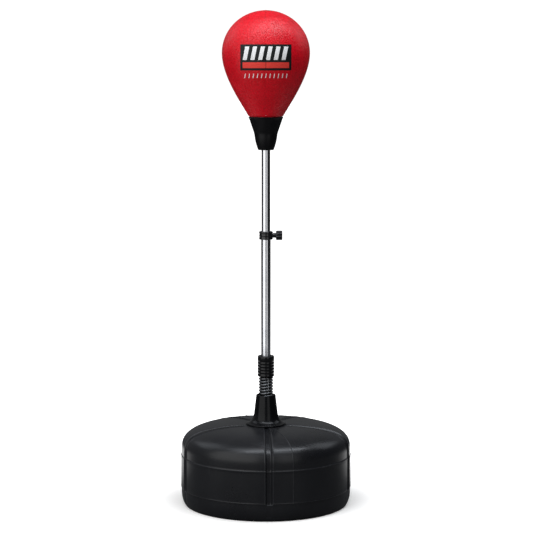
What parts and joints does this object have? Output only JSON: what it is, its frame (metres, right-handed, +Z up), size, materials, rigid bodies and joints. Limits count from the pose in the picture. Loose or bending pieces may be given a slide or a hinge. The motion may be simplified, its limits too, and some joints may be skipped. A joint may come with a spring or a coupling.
{
  "type": "free-standing punch ball",
  "caption": "Inflated red leather punch ball on a telescopic pole that sways on a coil spring, above a hollow drum base filled with water or sand.",
  "frame": {"origin": "middle of the drum's underside, on the floor", "axes": "+Z up along the pole, -Y the front, +X towards the clamp knob"},
  "size_m": [0.46, 0.4599, 1.3232],
  "materials": {
    "drum": "satin blow-moulded polyethylene, fine texture",
    "black_plastic": "semi-gloss moulded nylon",
    "ribbed_plastic": "satin moulded nylon with ribs",
    "spring_steel": "gloss black coated spring wire",
    "chrome": "bright chrome plate",
    "zinc": "zinc plated",
    "brass": "turned",
    "leather": "glossy pebbled red leather",
    "rubber": "matt black butyl"
  },
  "bodies": {
    "base": {"base_shell": "drum", "neck_cone": "black_plastic", "anchor_bolt": "zinc", "anchor_washer": "zinc", "spring_bottom_plug": "zinc"},
    "spring": {"coil_spring": "spring_steel"},
    "pole_lower": {"spring_top_plug": "zinc", "coupler_sleeve": "ribbed_plastic", "coupler_screw": "zinc", "lower_tube": "chrome", "clamp_collar": "black_plastic", "clamp_thread_insert": "brass"},
    "clamp_slide": {"clamp_pad": "black_plastic"},
    "clamp_screw": {"clamp_stud": "zinc", "clamp_knob": "black_plastic"},
    "pole_upper": {"upper_tube_foot": "black_plastic", "upper_tube": "chrome", "tube_top_plug": "zinc", "ball_cup": "black_plastic", "ball_panel_front_right": "leather", "ball_panel_front_left": "leather", "ball_panel_back_right": "leather", "ball_panel_back_left": "leather", "ball_bladder": "rubber", "bladder_valve": "rubber", "ball_neck_stud": "zinc"},
    "cap_lift": {"filler_gasket": "rubber"},
    "cap": {"filler_cap": "black_plastic"}
  },
  "joints": [
    {"name": "sway_front_back", "type": "hinge", "parent": "base", "child": "spring", "pos_m": [0, 0, 0.308], "axis": [1, 0, 0], "range_deg": [-35, 35], "stiffness_Nm_per_rad": 100, "deforming": ["coil_spring"]},
    {"name": "sway_side", "type": "hinge", "parent": "spring", "child": "pole_lower", "pos_m": [0, 0, 0.308], "axis": [0, 1, 0], "range_deg": [-35, 35], "stiffness_Nm_per_rad": 100, "deforming": ["coil_spring"]},
    {"name": "height_slide", "type": "slide", "parent": "pole_lower", "child": "pole_upper", "axis": [0, 0, 1], "range_m": [-0.16, 0.06]},
    {"name": "clamp_pad_slide", "type": "slide", "parent": "pole_lower", "child": "clamp_slide", "axis": [1, 0, 0], "range_m": [0, 0.0025]},
    {"name": "clamp_knob_turn", "type": "hinge", "parent": "clamp_slide", "child": "clamp_screw", "pos_m": [0.035, 0, 0.7265], "axis": [1, 0, 0], "range_deg": [0, 720]},
    {"name": "cap_lift_slide", "type": "slide", "parent": "base", "child": "cap_lift", "axis": [0, 0, 1], "range_m": [0, 0.0125]},
    {"name": "cap_turn", "type": "hinge", "parent": "cap_lift", "child": "cap", "pos_m": [-0.00545, 0.14189, 0.205], "axis": [0, 0, 1], "range_deg": [0, 1080]}
  ],
  "couplings": [
    {"joint": "clamp_knob_turn", "follows": "clamp_pad_slide", "rad_per_m": 5026.5},
    {"joint": "cap_lift_slide", "follows": "cap_turn", "m_per_rad": 0.00063662}
  ]
}
